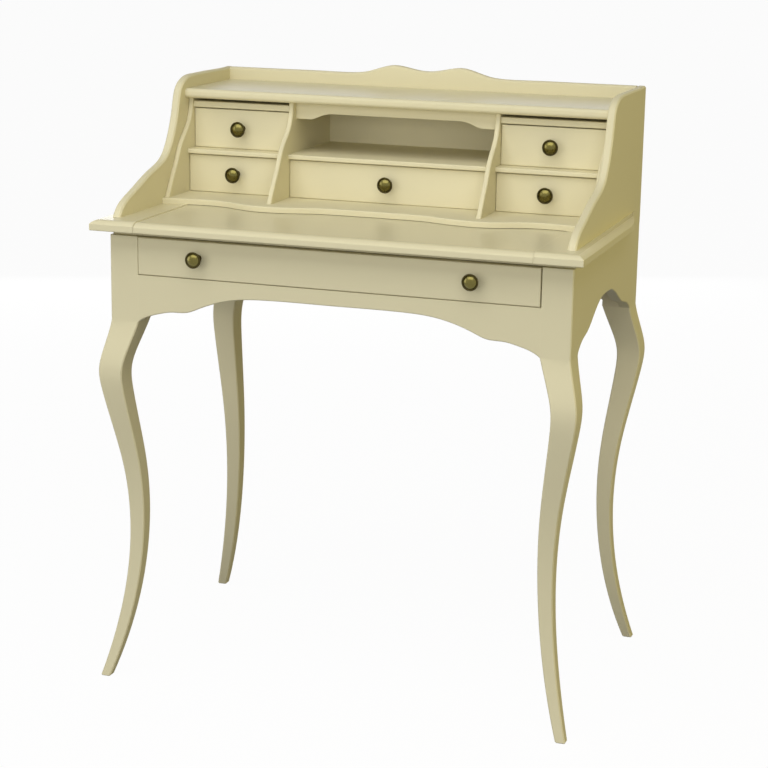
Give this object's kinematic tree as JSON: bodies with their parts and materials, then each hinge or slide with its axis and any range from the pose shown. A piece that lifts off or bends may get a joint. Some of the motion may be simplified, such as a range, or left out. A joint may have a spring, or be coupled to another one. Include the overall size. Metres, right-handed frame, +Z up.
{
  "type": "writing desk",
  "caption": "Ladies' writing desk on cabriole legs with a scroll-ended gallery, a nest of small drawers, a pull-out writing slide and a wide frieze drawer.",
  "frame": {"origin": "middle of the desk's footprint, on the floor", "axes": "+X to the sitter's right, +Y away from the sitter, +Z up"},
  "size_m": [0.802, 0.5256, 0.9936],
  "materials": {
    "painted_wood": "satin cream paint",
    "drawer_box_wood": "plain waxed wood",
    "aged_brass": "dark antique"
  },
  "bodies": {
    "root": {"back_apron": "painted_wood", "centre_shelf": "painted_wood", "drawer_runner_left": "drawer_box_wood", "drawer_runner_right": "drawer_box_wood", "drawer_stops": "drawer_box_wood", "front_apron": "painted_wood", "front_bearer": "painted_wood", "gallery_back": "painted_wood", "gallery_shelf": "painted_wood", "leg_front_left": "painted_wood", "leg_front_right": "painted_wood", "leg_rear_left": "painted_wood", "leg_rear_right": "painted_wood", "letter_board_left": "painted_wood", "letter_board_right": "painted_wood", "mid_shelf_left": "painted_wood", "mid_shelf_right": "painted_wood", "nest_divider_left": "painted_wood", "nest_divider_right": "painted_wood", "nest_floor": "painted_wood", "nest_side_left": "painted_wood", "nest_side_right": "painted_wood", "rear_bearer": "painted_wood", "rear_top_rail": "painted_wood", "scroll_end_left": "painted_wood", "scroll_end_right": "painted_wood", "side_apron_left": "painted_wood", "side_apron_right": "painted_wood", "side_bearer_left": "painted_wood", "side_bearer_right": "painted_wood", "top_end_left": "painted_wood", "top_end_right": "painted_wood", "valance": "painted_wood"},
    "writing_slide": {"writing_slide": "painted_wood", "slide_batten": "drawer_box_wood"},
    "frieze_drawer": {"frieze_drawer_back": "drawer_box_wood", "frieze_drawer_bottom": "drawer_box_wood", "frieze_drawer_front": "painted_wood", "frieze_drawer_knobs": "aged_brass", "frieze_drawer_side_left": "drawer_box_wood", "frieze_drawer_side_right": "drawer_box_wood"},
    "lower_left_drawer": {"lower_left_drawer_front": "painted_wood", "lower_left_drawer_tray": "drawer_box_wood", "lower_left_drawer_knob": "aged_brass"},
    "lower_right_drawer": {"lower_right_drawer_front": "painted_wood", "lower_right_drawer_tray": "drawer_box_wood", "lower_right_drawer_knob": "aged_brass"},
    "upper_left_drawer": {"upper_left_drawer_front": "painted_wood", "upper_left_drawer_tray": "drawer_box_wood", "upper_left_drawer_knob": "aged_brass"},
    "upper_right_drawer": {"upper_right_drawer_front": "painted_wood", "upper_right_drawer_tray": "drawer_box_wood", "upper_right_drawer_knob": "aged_brass"},
    "centre_drawer": {"centre_drawer_front": "painted_wood", "centre_drawer_tray": "drawer_box_wood", "centre_drawer_knob": "aged_brass"}
  },
  "joints": [
    {"name": "writing_slide_travel", "type": "slide", "parent": "root", "child": "writing_slide", "axis": [0, -1, 0], "range_m": [0, 0.23]},
    {"name": "frieze_drawer_travel", "type": "slide", "parent": "root", "child": "frieze_drawer", "axis": [0, -1, 0], "range_m": [0, 0.3]},
    {"name": "lower_left_drawer_travel", "type": "slide", "parent": "root", "child": "lower_left_drawer", "axis": [0, -1, 0], "range_m": [0, 0.12]},
    {"name": "lower_right_drawer_travel", "type": "slide", "parent": "root", "child": "lower_right_drawer", "axis": [0, -1, 0], "range_m": [0, 0.12]},
    {"name": "centre_drawer_travel", "type": "slide", "parent": "root", "child": "centre_drawer", "axis": [0, -1, 0], "range_m": [0, 0.12]},
    {"name": "upper_left_drawer_travel", "type": "slide", "parent": "root", "child": "upper_left_drawer", "axis": [0, -1, 0], "range_m": [0, 0.1]},
    {"name": "upper_right_drawer_travel", "type": "slide", "parent": "root", "child": "upper_right_drawer", "axis": [0, -1, 0], "range_m": [0, 0.1]}
  ]
}
